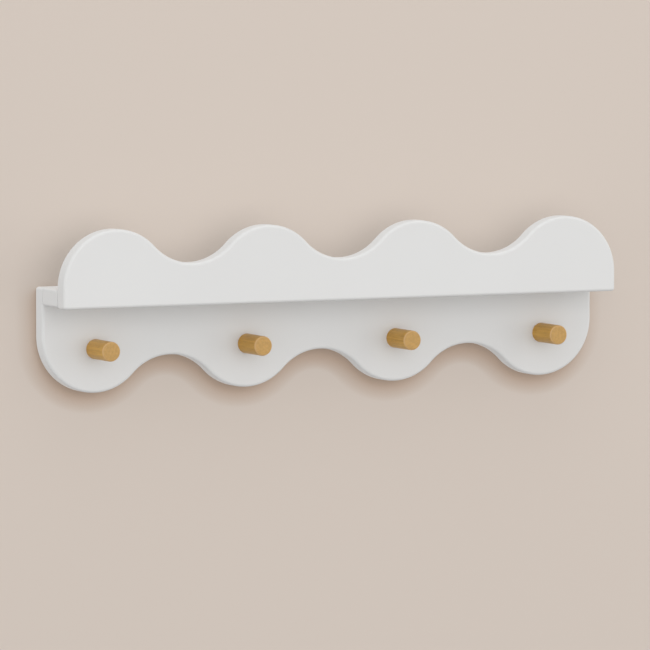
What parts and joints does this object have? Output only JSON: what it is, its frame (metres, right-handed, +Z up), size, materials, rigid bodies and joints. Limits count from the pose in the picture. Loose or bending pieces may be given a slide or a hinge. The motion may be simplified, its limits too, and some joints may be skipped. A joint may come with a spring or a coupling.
{
  "type": "peg rail with shelf",
  "caption": "Wall rail with round wooden pegs below a narrow shelf, which a scalloped front board fences; the rail's lower edge repeats the same wave.",
  "frame": {"origin": "on the wall face, midway between the points where the two wall screws bear in the keyholes", "axes": "+X along the rail to the viewer's right, +Y into the wall, +Z up"},
  "size_m": [0.6, 0.069, 0.1621],
  "materials": {
    "painted_board": "white satin paint on a smooth board",
    "peg_wood": "oiled golden oak",
    "dowel_wood": "bare beech",
    "zinc_steel": "bright zinc plate"
  },
  "bodies": {
    "root": {"back_panel": "painted_board", "shelf_board": "painted_board", "front_panel": "painted_board", "peg_1": "peg_wood", "peg_2": "peg_wood", "peg_3": "peg_wood", "peg_4": "peg_wood", "peg_screws": "zinc_steel", "shelf_screws": "zinc_steel", "front_dowels": "dowel_wood", "hanger_left": "zinc_steel", "hanger_right": "zinc_steel", "hanger_screws": "zinc_steel"}
  },
  "joints": []
}
